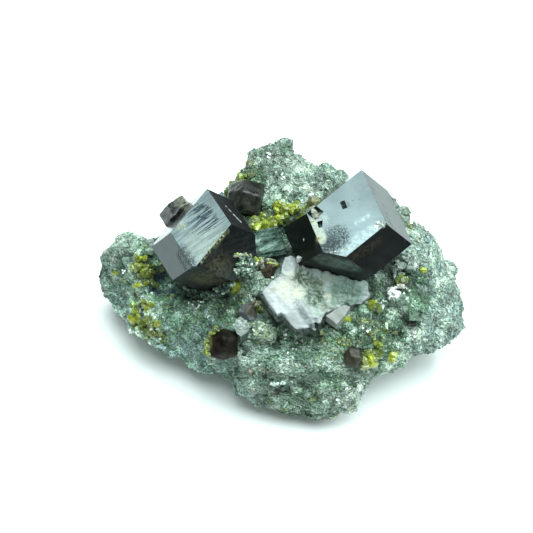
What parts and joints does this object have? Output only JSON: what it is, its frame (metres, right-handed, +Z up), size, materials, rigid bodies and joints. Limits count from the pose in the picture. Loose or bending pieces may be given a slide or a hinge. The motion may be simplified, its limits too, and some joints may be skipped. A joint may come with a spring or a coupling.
{
  "type": "andradite garnet on matrix",
  "caption": "Lump of green rock with large near-black dodecahedral garnets, small brown garnets, white cleaved calcite, a striated prism and yellow-green epidote grains.",
  "frame": {"origin": "middle of the box, on the flat foot that the rock rests on", "axes": "+X to the right along the rock's length, +Y to the back, +Z up from the foot"},
  "size_m": [0.0498, 0.0362, 0.0254],
  "materials": {
    "garnet_dark": "near-black, glassy to resinous crystal faces",
    "garnet_brown": "brown to mauve-brown, resinous",
    "calcite": "white cleaved calcite, pearly, with pale green tints",
    "prism": "teal, finely striated, silky",
    "quartz": "clear grey grains, glassy",
    "epidote": "yellow-green grains, resinous",
    "rock": "sugary grey-green rock with dark and white grains"
  },
  "bodies": {
    "root": {"matrix": "rock", "garnet_left": "garnet_dark", "garnet_right": "garnet_dark", "garnet_satellite": "garnet_brown", "garnet_upper": "garnet_brown", "garnet_lower": "garnet_brown", "garnet_low_right": "garnet_brown", "garnet_front": "garnet_brown", "garnet_patch": "garnet_brown", "calcite_mass": "calcite", "calcite_wedge": "calcite", "calcite_sliver": "calcite", "calcite_chip": "calcite", "calcite_lump": "calcite", "white_grains": "calcite", "striated_prism": "prism", "quartz_cluster": "quartz", "epidote_band": "epidote", "epidote_back": "epidote", "epidote_pair": "epidote", "epidote_olive": "epidote", "epidote_ledge": "epidote", "epidote_bead": "epidote", "epidote_left": "epidote", "epidote_lower_left": "epidote", "epidote_low_right": "epidote", "epidote_low_edge": "epidote", "epidote_right": "epidote", "epidote_single": "epidote"}
  },
  "joints": []
}
